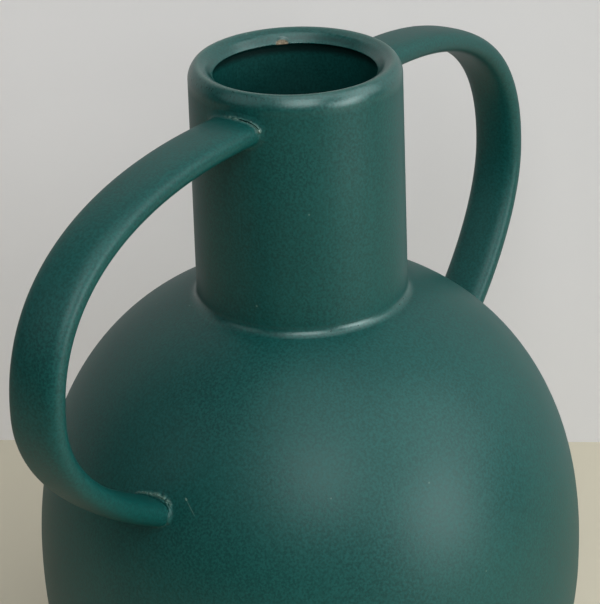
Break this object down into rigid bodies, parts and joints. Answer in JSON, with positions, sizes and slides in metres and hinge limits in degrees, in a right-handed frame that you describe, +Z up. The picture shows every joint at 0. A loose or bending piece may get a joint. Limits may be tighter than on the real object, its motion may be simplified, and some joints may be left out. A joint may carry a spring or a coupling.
{
  "type": "amphora vase",
  "caption": "Glazed stoneware amphora vase with a globe body, a straight tubular neck and strap loop handles from neck to shoulder.",
  "frame": {"origin": "on the table under the middle of the foot ring", "axes": "+Z up along the vase's axis, handles along X with the left handle towards -X"},
  "size_m": [0.275, 0.19, 0.261],
  "materials": {
    "green_glaze": "satin",
    "bare_clay": "matte"
  },
  "bodies": {
    "root": {"body": "green_glaze", "neck": "green_glaze", "neck_slip": "green_glaze", "left_handle": "green_glaze", "left_handle_neck_slip": "green_glaze", "left_handle_shoulder_slip": "green_glaze", "right_handle": "green_glaze", "right_handle_neck_slip": "green_glaze", "right_handle_shoulder_slip": "green_glaze", "foot_ring": "bare_clay", "foot_slip": "bare_clay"}
  },
  "joints": []
}
